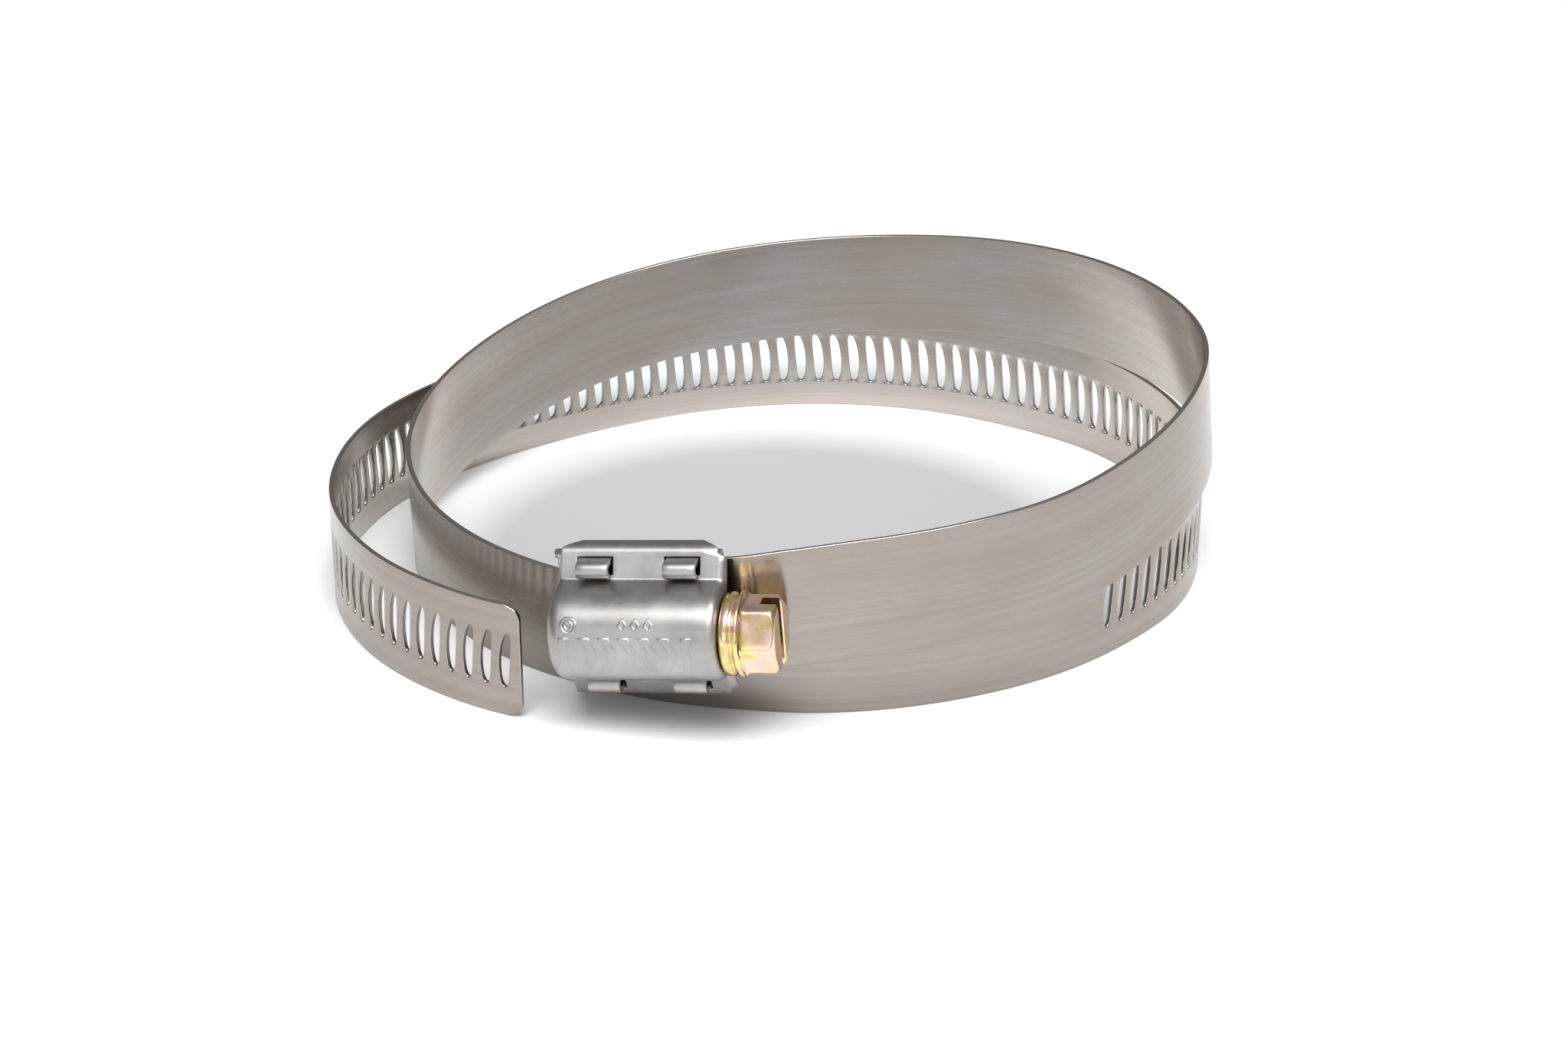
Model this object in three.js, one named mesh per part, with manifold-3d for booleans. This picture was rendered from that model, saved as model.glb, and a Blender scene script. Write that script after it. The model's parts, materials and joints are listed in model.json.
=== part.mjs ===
// Worm-drive hose clamp with a 14.3 mm band, open, as it is supplied.
// The band lies on its lower edge in a coil of two turns. Its plain end is held in the screw
// housing, and its slotted end is free. Millimetres, +Z up, with the origin below the middle of
// the coil, on the surface that it lies on.

import * as THREE from 'three';
import { mergeVertices } from 'three/addons/utils/BufferGeometryUtils.js';
import Module from 'manifold-3d';

// Band.
const BAND_WIDTH = 14.3;
const BAND_THICKNESS = 0.6;
const BAND_STEP = 4;
const TAIL_CORNER = 2;
const TAIL_STATIONS = [0.6, 0.2, 0];

// Slots, measured back from the free end and up from the lower edge.
const SLOT_COUNT = 100;
const SLOT_PITCH = 2.54;
const SLOT_WIDTH = 1.2;
const SLOT_LENGTH = 6.7;
const SLOT_SLANT = 0.07;
const FIRST_SLOT = 2;

// The band's way round the coil, counterclockwise from its held end. Each point has the angle
// round the coil's axis, the distance from it, the height of the lower edge, and how far the
// upper edge leans outward, in degrees.
const ROUTE = [
  [-118.7, 50.66, 4.15, -3], [-115, 49.8, 4.47, -3], [-111, 49.13, 4.82, -3],
  [-102, 48.52, 5.56, -3], [-96, 48.72, 6.08, -3], [-89, 48.6, 7, -3], [-80, 48.75, 7.9, -3],
  [-65, 49.2, 8.6, -3.2], [-50, 50.3, 9.4, -3.6], [-35, 51.6, 11.2, -4], [-20, 52.9, 13.3, -4.5], [-5, 53.5, 14.8, -5], [10, 52.7, 15.1, -5],
  [30, 50.9, 14.9, -4.3], [50, 49.4, 13.8, -3.3], [70, 48, 12.2, -2], [90, 46.5, 10.7, 0],
  [110, 45.3, 9.2, 1.7], [130, 44.8, 7.4, 3.5], [150, 46, 4.6, 4.3], [165, 47.3, 2.2, 4],
  [180, 47.6, 0.8, 2.5], [200, 47.3, 0.1, 0.5], [220, 46.9, 0, 0], [240, 46.3, 0, 0],
  [252, 46.4, 0, 0], [264, 46.5, 0, 0], [274, 47.2, 0, 0], [295, 48.2, 0, 0],
  [310, 49.3, 0, 0], [325, 50.6, 0, 0], [340, 52.4, 0, 0], [360, 53.2, 0, 0],
  [380, 53, 0, 0], [395, 52.3, 0, 0], [410, 50.7, 0, 0], [425, 49.6, 0, 0],
  [445, 47.9, 0, 0], [460, 46.7, 0, 0], [476, 45.9, 0, 0], [488, 46.1, 0, 0],
  [500, 47.4, 0, 0], [515, 50.4, 0, 0], [530, 53.8, 0, 0], [545, 56.5, 0, 0],
  [560, 58.5, 0, 0], [575, 59, 0, 0], [590, 58.1, 0, 0], [598.2, 57.1, 0, 0],
];
const ROUTE_STEP = 0.5;

// Screw housing: where its middle is on the coil, and how it is turned there.
const HEAD_PLACE = [-15.36, -46.75, 12.2];
const HEAD_YAW = -12;
const HEAD_PITCH = 5.5;
const HEAD_ROLL = 3;

// Housing, in its own frame: X along the screw, Y into the coil, Z across the band.
// Sections use the depth outward from the middle of the housing's foot and the width across.
const BARREL_BACK = -9.6;
const BARREL_FRONT = 10;
const BARREL_RADIUS = 5.1;
const BARREL_BORE = 4.5;
const BARREL_END_WALL = 0.7;
const BARREL_END_HOLE = 3.2;
const BARREL_END_BEVEL = 0.7;
const BARREL_SIDES = 36;
const SCREW_DEPTH = 4.9;
const FOOT_HALF_WIDTH = 9.2;
const FOOT_LENGTH = 18.4;
const FOOT_DEPTH = -0.6;
const SHOULDER_DEPTH = 1.4;
const SHOULDER_SLOPE = Math.tan(THREE.MathUtils.degToRad(36));
const FOOT_EDGE = 0.3;
const SHEET = 0.8;
const VALLEY_HALF_WIDTH = 6;
const INNER_VALLEY_HALF_WIDTH = 5.4;
const ARCH_START_DEPTH = 4.3;
const END_WALL_DEPTH = 1.6;
const CHAMFER_START = 7.1;
const OVERCUT = 0.3;

// Windows in the shoulders, and the saddle's tabs that are bent over through them.
const WINDOW_MIDDLE = 5.1;
const WINDOW_INNER = 5.85;
const TAB_LENGTH = 3.8;
const TAB_GAP = 0.2;
const SADDLE_SHEET = 0.65;
const SADDLE_HALF_WIDTH = 8;
const SADDLE_DEPTH = -1.65;
const SADDLE_WALL_DEPTH = 0.8;
const SADDLE_BACK = -10.6;
const SADDLE_FRONT = 9;
const TAB_RADIUS = 1;
const TAB_CENTRE_DEPTH = 3.3;
const TAB_CURL_END = THREE.MathUtils.degToRad(-75);

// Screw. The outlines have the distance from its axis and the place along it.
const SCREW_TIP = -10.25;
const TIP_CHAMFER = 0.4;
const SCREW_CORE = 2.9;
const WORM_BACK = -8.3;
const WORM_FRONT = 8.3;
const WORM_RADIUS = 4.3;
const WORM_STEPS_PER_TURN = 4;
const THREAD_RUN_OUT = 1;
const SCREW_SIDES = 24;
const WASHER_OUTLINE = [
  [4.4, 10.35], [4.8, 10.75], [4.6, 11.55], [4.9, 12.15], [4.9, 12.45], [4.2, 12.75],
];
const HEX_ACROSS_FLATS = 7.94;
const HEX_BACK = 12.2;
const HEX_FRONT = 16.65;
const HEX_CROWN = [[4.7, 11.7], [4.7, 15.75], [3.67, 16.4], [2.77, HEX_FRONT]];
const HEX_TURN = THREE.MathUtils.degToRad(26);
const DRIVE_SLOT_WIDTH = 1.4;
const DRIVE_SLOT_DEPTH = 1.8;

const STEEL = { color: 0xaaa59f, roughness: 0.36, metalness: 1 };
const materials = {
  band: new THREE.MeshStandardMaterial(STEEL),
  saddle: new THREE.MeshStandardMaterial(STEEL),
  housing: new THREE.MeshStandardMaterial({ ...STEEL, color: 0xb9b6b2 }),
  screw: new THREE.MeshStandardMaterial({ color: 0xc9a95a, roughness: 0.25, metalness: 1 }),
};

const wasm = await Module();
wasm.setup();

function toSolid(geometry) {
  const bare = geometry.clone();
  bare.deleteAttribute('normal');
  bare.deleteAttribute('uv');
  const merged = mergeVertices(bare);
  return new wasm.Manifold(new wasm.Mesh({
    numProp: 3,
    vertProperties: new Float32Array(merged.attributes.position.array),
    triVerts: new Uint32Array(merged.index.array),
  }));
}

function toGeometry(solid) {
  const mesh = solid.getMesh();
  const geometry = new THREE.BufferGeometry();
  geometry.setAttribute('position', new THREE.BufferAttribute(mesh.vertProperties, 3));
  geometry.setIndex(new THREE.BufferAttribute(mesh.triVerts, 1));
  geometry.computeVertexNormals();
  return geometry;
}

// ---- The band's route ----

// The value in one column of ROUTE at an angle, on a smooth curve through its points.
function onRoute(angle, column) {
  const last = ROUTE.length - 1;
  const slope = (i) => {
    const before = ROUTE[Math.max(i - 1, 0)];
    const after = ROUTE[Math.min(i + 1, last)];
    return (after[column] - before[column]) / (after[0] - before[0]);
  };
  let i = 0;
  while (i < last - 1 && angle > ROUTE[i + 1][0]) i += 1;
  const span = ROUTE[i + 1][0] - ROUTE[i][0];
  const t = (angle - ROUTE[i][0]) / span;
  const start = ROUTE[i][column];
  const rise = ROUTE[i + 1][column] - start;
  const leaving = slope(i) * span;
  const arriving = slope(i + 1) * span;
  const bend = leaving - rise;
  const unbend = arriving - rise;
  return start + rise * t + t * (1 - t) * (bend * (1 - t) - unbend * t);
}

function middleAt(angle) {
  const turn = THREE.MathUtils.degToRad(angle);
  const radius = onRoute(angle, 1);
  const height = Math.max(onRoute(angle, 2), 0) + BAND_WIDTH / 2;
  return new THREE.Vector3(radius * Math.cos(turn), radius * Math.sin(turn), height);
}

// Angles at which the middle of the band has gone known distances.
function measureRoute() {
  const marks = [{ angle: ROUTE[0][0], distance: 0 }];
  const end = ROUTE[ROUTE.length - 1][0];
  let before = middleAt(ROUTE[0][0]);
  for (let angle = ROUTE[0][0] + ROUTE_STEP; angle < end + ROUTE_STEP; angle += ROUTE_STEP) {
    const here = middleAt(Math.min(angle, end));
    const distance = marks[marks.length - 1].distance + here.distanceTo(before);
    marks.push({ angle: Math.min(angle, end), distance });
    before = here;
  }
  return marks;
}

const marks = measureRoute();
const bandLength = marks[marks.length - 1].distance;

function angleAt(distance) {
  let i = 0;
  while (i < marks.length - 2 && distance > marks[i + 1].distance) i += 1;
  const share = (distance - marks[i].distance) / (marks[i + 1].distance - marks[i].distance);
  return THREE.MathUtils.lerp(marks[i].angle, marks[i + 1].angle, share);
}

// A point of the band: a distance along it, a height from its middle, and a depth outward.
function bandPoint(distance, height, depth) {
  const angle = angleAt(distance);
  const along = middleAt(angle + ROUTE_STEP / 4).sub(middleAt(angle - ROUTE_STEP / 4)).normalize();
  const upright = new THREE.Vector3(0, 0, 1).addScaledVector(along, -along.z).normalize();
  const outward = along.clone().cross(upright);
  const lean = THREE.MathUtils.degToRad(onRoute(angle, 3));
  const across = upright.multiplyScalar(Math.cos(lean)).addScaledVector(outward, Math.sin(lean));
  const normal = along.clone().cross(across);
  return middleAt(angle).addScaledVector(across, height).addScaledVector(normal, depth);
}

// ---- The band ----

// Distances along the band where its mesh has a line across, and whether a slot starts there.
function bandStations() {
  const slotted = bandLength - FIRST_SLOT - (SLOT_COUNT - 0.5) * SLOT_PITCH;
  const steps = Math.ceil(slotted / BAND_STEP);
  const stations = [];
  for (let i = 0; i < steps; i += 1) {
    stations.push({ distance: (slotted * i) / steps, opens: false });
  }
  for (let i = SLOT_COUNT - 1; i >= 0; i -= 1) {
    const middle = bandLength - FIRST_SLOT - i * SLOT_PITCH;
    stations.push({ distance: middle - SLOT_WIDTH / 2, opens: true });
    stations.push({ distance: middle + SLOT_WIDTH / 2, opens: false });
  }
  for (const fromEnd of TAIL_STATIONS) {
    stations.push({ distance: bandLength - fromEnd, opens: false });
  }
  return stations;
}

// How far the band's edges are cut in by the free end's round corners.
function cornerInset(distance) {
  const into = Math.max(TAIL_CORNER - (bandLength - distance), 0);
  return TAIL_CORNER - Math.sqrt(TAIL_CORNER ** 2 - into ** 2);
}

function makeBand() {
  const stations = bandStations();
  const rows = 4;
  const positions = [];
  const triangles = [];
  for (const { distance } of stations) {
    const edge = BAND_WIDTH / 2 - cornerInset(distance);
    for (const height of [-edge, -SLOT_LENGTH / 2, SLOT_LENGTH / 2, edge]) {
      const beside = Math.abs(height) < edge && !TAIL_STATIONS.includes(bandLength - distance);
      const slant = beside ? SLOT_SLANT * height : 0;
      for (const depth of [-BAND_THICKNESS / 2, BAND_THICKNESS / 2]) {
        positions.push(...bandPoint(distance + slant, height, depth).toArray());
      }
    }
  }
  const vertex = (station, row, outer) => (station * rows + row) * 2 + outer;
  const quad = (a, b, c, d, flip) => {
    if (flip) triangles.push(a, c, b, a, d, c);
    else triangles.push(a, b, c, a, c, d);
  };
  const skin = (i, row, outer) => quad(
    vertex(i, row, outer), vertex(i + 1, row, outer),
    vertex(i + 1, row + 1, outer), vertex(i, row + 1, outer), outer === 0);
  const wallAlong = (i, row, facesDown) => quad(
    vertex(i, row, 0), vertex(i, row, 1), vertex(i + 1, row, 1), vertex(i + 1, row, 0), facesDown);
  const wallAcross = (i, row, facesBack) => quad(
    vertex(i, row, 0), vertex(i, row + 1, 0), vertex(i, row + 1, 1), vertex(i, row, 1), facesBack);

  for (let i = 0; i < stations.length - 1; i += 1) {
    for (let row = 0; row < rows - 1; row += 1) {
      if (stations[i].opens && row === 1) {
        wallAlong(i, row, false);
        wallAlong(i, row + 1, true);
        wallAcross(i, row, false);
        wallAcross(i + 1, row, true);
      } else {
        skin(i, row, 0);
        skin(i, row, 1);
      }
    }
    wallAlong(i, 0, true);
    wallAlong(i, rows - 1, false);
  }
  for (let row = 0; row < rows - 1; row += 1) {
    wallAcross(0, row, true);
    wallAcross(stations.length - 1, row, false);
  }
  const geometry = new THREE.BufferGeometry();
  geometry.setAttribute('position', new THREE.Float32BufferAttribute(positions, 3));
  geometry.setIndex(triangles);
  geometry.computeVertexNormals();
  return geometry;
}

// ---- Pieces made in the housing's frame ----

// A section of [depth, width] points, drawn out along the screw between two places.
function drawnOut(section, from, to) {
  const shape = new THREE.Shape(section.map(([depth, width]) => new THREE.Vector2(depth, width)));
  const geometry = new THREE.ExtrudeGeometry(shape, { depth: to - from, bevelEnabled: false });
  const basis = new THREE.Matrix4().makeBasis(
    new THREE.Vector3(0, -1, 0), new THREE.Vector3(0, 0, 1), new THREE.Vector3(-1, 0, 0));
  geometry.applyMatrix4(basis.setPosition(to, 0, 0));
  return toSolid(geometry);
}

// A round solid about the screw's axis, from [radius, place along the screw] points.
function turned(profile, sides, shapeRadius) {
  const geometry = new THREE.LatheGeometry(
    profile.map(([radius, along]) => new THREE.Vector2(radius, along)), sides);
  if (shapeRadius) {
    const place = geometry.attributes.position;
    for (let i = 0; i < place.count; i += 1) {
      const angle = Math.atan2(place.getX(i), place.getZ(i));
      const radius = Math.hypot(place.getX(i), place.getZ(i));
      const grown = radius + shapeRadius(radius, angle, place.getY(i));
      place.setXYZ(i, grown * Math.sin(angle), place.getY(i), grown * Math.cos(angle));
    }
  }
  const basis = new THREE.Matrix4().makeBasis(
    new THREE.Vector3(0, 0, 1), new THREE.Vector3(1, 0, 0), new THREE.Vector3(0, 1, 0));
  geometry.applyMatrix4(basis.setPosition(0, -SCREW_DEPTH, 0));
  return toSolid(geometry);
}

function mirrored(half) {
  return [...half, ...half.map(([depth, width]) => [depth, -width]).reverse()];
}

const shoulderAt = (width) => SHOULDER_DEPTH + (FOOT_HALF_WIDTH - width) * SHOULDER_SLOPE;
const undersideAt = (width) => shoulderAt(width) - SHEET * Math.hypot(1, SHOULDER_SLOPE);

// The round top of a section: an arc about the screw's axis, from one side to the other.
function archSection(half, radius) {
  const arc = new THREE.Path().absarc(SCREW_DEPTH, 0, radius, Math.PI / 2, -Math.PI / 2, true);
  const points = arc.getPoints(18).map(({ x, y }) => [x, y]);
  return [...half, ...points, ...half.map(([depth, width]) => [depth, -width]).reverse()];
}

// The wedge that is cut from the foot's outer wall at one end and on one side.
function footChamfer(end, side) {
  const beyond = FOOT_LENGTH / 2 + OVERCUT;
  const corner = new THREE.Shape([
    new THREE.Vector2(end * CHAMFER_START, -FOOT_DEPTH),
    new THREE.Vector2(end * CHAMFER_START, -FOOT_DEPTH + OVERCUT),
    new THREE.Vector2(end * beyond, -FOOT_DEPTH + OVERCUT),
    new THREE.Vector2(end * beyond, -SHOULDER_DEPTH),
  ]);
  const wedge = new THREE.ExtrudeGeometry(corner, { depth: 2 * SHEET, bevelEnabled: false });
  wedge.translate(0, 0, side * FOOT_HALF_WIDTH - SHEET);
  return toSolid(wedge);
}

function makeHousing() {
  const innerHalf = FOOT_HALF_WIDTH - SHEET;
  const foot = mirrored([
    [FOOT_DEPTH, FOOT_HALF_WIDTH],
    [SHOULDER_DEPTH - FOOT_EDGE, FOOT_HALF_WIDTH],
    [shoulderAt(FOOT_HALF_WIDTH - FOOT_EDGE), FOOT_HALF_WIDTH - FOOT_EDGE],
    [shoulderAt(VALLEY_HALF_WIDTH), VALLEY_HALF_WIDTH],
    [ARCH_START_DEPTH, BARREL_RADIUS - BARREL_END_BEVEL / 2],
  ]);
  const barrel = turned([
    [0, BARREL_BACK],
    [BARREL_RADIUS - BARREL_END_BEVEL, BARREL_BACK],
    [BARREL_RADIUS, BARREL_BACK + BARREL_END_BEVEL],
    [BARREL_RADIUS, BARREL_FRONT - BARREL_END_BEVEL],
    [BARREL_RADIUS - BARREL_END_BEVEL, BARREL_FRONT],
    [0, BARREL_FRONT],
  ], BARREL_SIDES);
  const innerValley = [undersideAt(INNER_VALLEY_HALF_WIDTH), INNER_VALLEY_HALF_WIDTH];
  const channel = mirrored([
    [FOOT_DEPTH - OVERCUT, innerHalf],
    [undersideAt(innerHalf), innerHalf],
    innerValley,
    [END_WALL_DEPTH, INNER_VALLEY_HALF_WIDTH],
  ]);
  const bore = archSection([[0, INNER_VALLEY_HALF_WIDTH], innerValley], BARREL_BORE);
  const hole = turned([
    [0, BARREL_BACK - OVERCUT],
    [BARREL_END_HOLE, BARREL_BACK - OVERCUT],
    [BARREL_END_HOLE, BARREL_FRONT + OVERCUT],
    [0, BARREL_FRONT + OVERCUT],
  ], BARREL_SIDES);

  let housing = drawnOut(foot, -FOOT_LENGTH / 2, FOOT_LENGTH / 2)
    .add(barrel)
    .subtract(drawnOut(channel, BARREL_BACK - OVERCUT, BARREL_FRONT + OVERCUT))
    .subtract(drawnOut(bore, BARREL_BACK + BARREL_END_WALL, BARREL_FRONT - BARREL_END_WALL))
    .subtract(hole);
  const windowLength = TAB_LENGTH + 2 * TAB_GAP;
  const windowOuter = SADDLE_HALF_WIDTH + TAB_GAP;
  for (const side of [-1, 1]) {
    const window = [
      [FOOT_DEPTH, side * WINDOW_INNER],
      [FOOT_DEPTH, side * windowOuter],
      [SCREW_DEPTH, side * windowOuter],
      [SCREW_DEPTH, side * WINDOW_INNER],
    ];
    for (const end of [-1, 1]) {
      const middle = end * WINDOW_MIDDLE;
      housing = housing
        .subtract(drawnOut(window, middle - windowLength / 2, middle + windowLength / 2))
        .subtract(footChamfer(end, side));
    }
  }
  return toGeometry(housing);
}

function makeSaddle() {
  const inner = SADDLE_HALF_WIDTH - SADDLE_SHEET;
  const floor = SADDLE_DEPTH + SADDLE_SHEET;
  const channel = mirrored([
    [SADDLE_DEPTH, SADDLE_HALF_WIDTH],
    [SADDLE_WALL_DEPTH, SADDLE_HALF_WIDTH],
    [SADDLE_WALL_DEPTH, inner],
    [floor, inner],
  ]);
  let saddle = drawnOut(channel, SADDLE_BACK, SADDLE_FRONT);
  const curlWidth = SADDLE_HALF_WIDTH - TAB_RADIUS;
  const curl = (radius, from, to, clockwise) => new THREE.Path()
    .absarc(TAB_CENTRE_DEPTH, curlWidth, radius, from, to, clockwise).getPoints(8);
  const outline = [
    [floor, inner],
    [floor, SADDLE_HALF_WIDTH],
    ...curl(TAB_RADIUS, Math.PI / 2, TAB_CURL_END, true).map(({ x, y }) => [x, y]),
    ...curl(TAB_RADIUS - SADDLE_SHEET, TAB_CURL_END, Math.PI / 2, false).map(({ x, y }) => [x, y]),
  ];
  for (const side of [-1, 1]) {
    for (const place of [-1, 1]) {
      const tab = outline.map(([depth, width]) => [depth, side * width]);
      const middle = place * WINDOW_MIDDLE;
      saddle = saddle.add(drawnOut(tab, middle - TAB_LENGTH / 2, middle + TAB_LENGTH / 2));
    }
  }
  return toGeometry(saddle);
}

// How far the worm's thread stands out of the core, at an angle and a place along the screw.
function threadHeight(radius, angle, along) {
  const runOut = Math.min((along - WORM_BACK) / THREAD_RUN_OUT, (WORM_FRONT - along) / THREAD_RUN_OUT, 1);
  if (radius < SCREW_CORE - TIP_CHAMFER / 2 || runOut <= 0) return 0;
  const wave = 0.5 - 0.5 * Math.cos(2 * Math.PI * (along / SLOT_PITCH) - angle);
  return runOut * wave * (WORM_RADIUS - SCREW_CORE);
}

// A hexagonal prism about the screw's axis.
function hexPrism(from, to) {
  const corners = Array.from({ length: 6 }, (_, i) => {
    const angle = HEX_TURN + ((i + 0.5) * Math.PI) / 3;
    const radius = HEX_ACROSS_FLATS / Math.sqrt(3);
    return [SCREW_DEPTH + radius * Math.cos(angle), radius * Math.sin(angle)];
  });
  return drawnOut(corners, from, to);
}

function makeScrew() {
  const steps = Math.round(((WORM_FRONT - WORM_BACK) / SLOT_PITCH) * WORM_STEPS_PER_TURN);
  const worm = Array.from({ length: steps + 1 }, (_, i) => [
    SCREW_CORE, THREE.MathUtils.lerp(WORM_BACK, WORM_FRONT, i / steps),
  ]);
  const washerBack = WASHER_OUTLINE[0][1];
  const washerFront = WASHER_OUTLINE[WASHER_OUTLINE.length - 1][1];
  const shank = turned([
    [0, SCREW_TIP],
    [SCREW_CORE - TIP_CHAMFER, SCREW_TIP],
    [SCREW_CORE, SCREW_TIP + TIP_CHAMFER],
    ...worm,
    [SCREW_CORE, washerBack],
    ...WASHER_OUTLINE,
    [0, washerFront],
  ], SCREW_SIDES, threadHeight);
  const crown = turned([[0, HEX_CROWN[0][1]], ...HEX_CROWN, [0, HEX_FRONT]], SCREW_SIDES);
  const halfSlot = DRIVE_SLOT_WIDTH / 2;
  const slotReach = HEX_ACROSS_FLATS;
  const driveSlot = drawnOut([
    [SCREW_DEPTH - halfSlot, -slotReach],
    [SCREW_DEPTH + halfSlot, -slotReach],
    [SCREW_DEPTH + halfSlot, slotReach],
    [SCREW_DEPTH - halfSlot, slotReach],
  ], HEX_FRONT - DRIVE_SLOT_DEPTH, HEX_FRONT + OVERCUT);
  const hex = hexPrism(HEX_BACK, HEX_FRONT).intersect(crown);
  return toGeometry(shank.add(hex).subtract(driveSlot));
}

// ---- Assembly ----

function piece(name, geometry) {
  const mesh = new THREE.Mesh(geometry, materials[name]);
  mesh.name = name;
  return mesh;
}

const head = new THREE.Group();
head.add(piece('saddle', makeSaddle()), piece('housing', makeHousing()), piece('screw', makeScrew()));
head.position.set(...HEAD_PLACE);
const turns = [-HEAD_ROLL, -HEAD_PITCH, HEAD_YAW].map(THREE.MathUtils.degToRad);
head.rotation.set(...turns, 'ZYX');

const clamp = new THREE.Group();
clamp.add(piece('band', makeBand()), head);
const box = new THREE.Box3().setFromObject(clamp, true);
clamp.position.set(-(box.min.x + box.max.x) / 2, -(box.min.y + box.max.y) / 2, -box.min.z);

export default clamp;
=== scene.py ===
"""Looks of a worm-drive hose clamp: its steel band, saddle and housing, and its plated screw.

Sizes are in millimetres until a mesh is made. Pieces of the housing are drawn in the screw's own
frame: u along the screw towards its head, n outward from the coil, and w across the band.
"""
import json
import math

import bmesh
import bpy
import numpy as np
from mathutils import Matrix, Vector


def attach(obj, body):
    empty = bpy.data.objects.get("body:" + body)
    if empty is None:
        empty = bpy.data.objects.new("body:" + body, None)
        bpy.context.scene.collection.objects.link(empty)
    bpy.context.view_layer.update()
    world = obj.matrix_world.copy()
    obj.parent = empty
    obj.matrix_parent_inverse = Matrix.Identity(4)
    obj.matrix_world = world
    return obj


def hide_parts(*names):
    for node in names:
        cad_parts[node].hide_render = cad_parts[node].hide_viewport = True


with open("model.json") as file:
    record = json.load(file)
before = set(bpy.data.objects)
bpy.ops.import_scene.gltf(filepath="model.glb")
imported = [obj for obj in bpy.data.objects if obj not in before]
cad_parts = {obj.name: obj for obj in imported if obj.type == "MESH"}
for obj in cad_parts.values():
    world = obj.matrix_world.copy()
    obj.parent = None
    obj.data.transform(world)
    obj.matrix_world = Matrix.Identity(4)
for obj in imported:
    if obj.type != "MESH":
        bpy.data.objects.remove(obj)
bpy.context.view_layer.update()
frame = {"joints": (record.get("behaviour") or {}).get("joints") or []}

MM = 0.001

# Where the screw is: a point on its axis, and the axis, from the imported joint.
SCREW_JOINT = frame["joints"][0]
SCREW_POINT = np.array(SCREW_JOINT["pos_m"]) / MM
U = np.array(SCREW_JOINT["axis"])
HEAD_ROLL = math.radians(3)
LEVEL = np.array([U[1], -U[0], 0]) / math.hypot(U[0], U[1])
N = LEVEL * math.cos(HEAD_ROLL) + np.cross(LEVEL, U) * math.sin(HEAD_ROLL)
W = np.cross(N, U)
SCREW_DEPTH = 4.9
HEAD_ORIGIN = SCREW_POINT - SCREW_DEPTH * N

# Where the coil's axis meets the floor. The head's place is measured from it.
HEAD_PLACE = np.array([-15.36, -46.75, 12.2])
COIL_AXIS = (HEAD_ORIGIN - HEAD_PLACE) * np.array([1, 1, 0])

# ---- Meshes ----


def new_object(name, points, faces, smooth=True):
    mesh = bpy.data.meshes.new(name)
    mesh.from_pydata([tuple(p) for p in np.asarray(points) * MM], [], faces)
    mesh.update()
    mesh.polygons.foreach_set("use_smooth", [smooth] * len(mesh.polygons))
    obj = bpy.data.objects.new(name, mesh)
    bpy.context.scene.collection.objects.link(obj)
    return obj


def drop_loose(obj):
    bm = bmesh.new()
    bm.from_mesh(obj.data)
    loose = [v for v in bm.verts if not v.link_faces]
    bmesh.ops.delete(bm, geom=loose, context="VERTS")
    bm.to_mesh(obj.data)
    bm.free()


def in_head(points):
    """World places of points given as (u, n, w) in the screw's frame."""
    p = np.asarray(points, float)
    return HEAD_ORIGIN + p[:, :1] * U + p[:, 1:2] * N + p[:, 2:3] * W


def add_modifier(obj, name, kind, **settings):
    modifier = obj.modifiers.new(name, kind)
    for key, value in settings.items():
        setattr(modifier, key, value)


def thicken(obj, thickness, bevel):
    """Gives a sheet its thickness, and rounds its cut edges."""
    add_modifier(obj, "sheet", "SOLIDIFY", thickness=thickness * MM, offset=-1, use_rim=True)
    add_modifier(obj, "edges", "BEVEL", width=bevel * MM, segments=2, limit_method="ANGLE",
                 angle_limit=math.radians(50), use_clamp_overlap=False)
    add_modifier(obj, "normals", "WEIGHTED_NORMAL", weight=60)


def arc(centre, radius, start, end, steps):
    """Points of an arc about (n, w), by angles in degrees from the n axis towards the w axis."""
    angles = np.radians(np.linspace(start, end, steps + 1))
    return [(centre[0] + radius * math.cos(a), centre[1] + radius * math.sin(a)) for a in angles]


# ---- The band's route ----

BAND_WIDTH = 14.3
BAND_THICKNESS = 0.6
BAND_EDGE_RADIUS = 0.16
TAIL_CORNER = 2.0
SLOT_COUNT = 100
SLOT_PITCH = 2.54
FIRST_SLOT = 2.0
SLOT_ROWS = np.array([-3.4, -3.24, -2.9, -2.25, -1.2, 0, 1.2, 2.25, 2.9, 3.24, 3.4])
SLOT_HALF = 3.46
SLOT_ZONE = SLOT_ROWS * 1.1
SLOT_LIP = 0.09
BAND_SHOULDER = 5.4
PLAIN_STEP = 1.6

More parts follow.
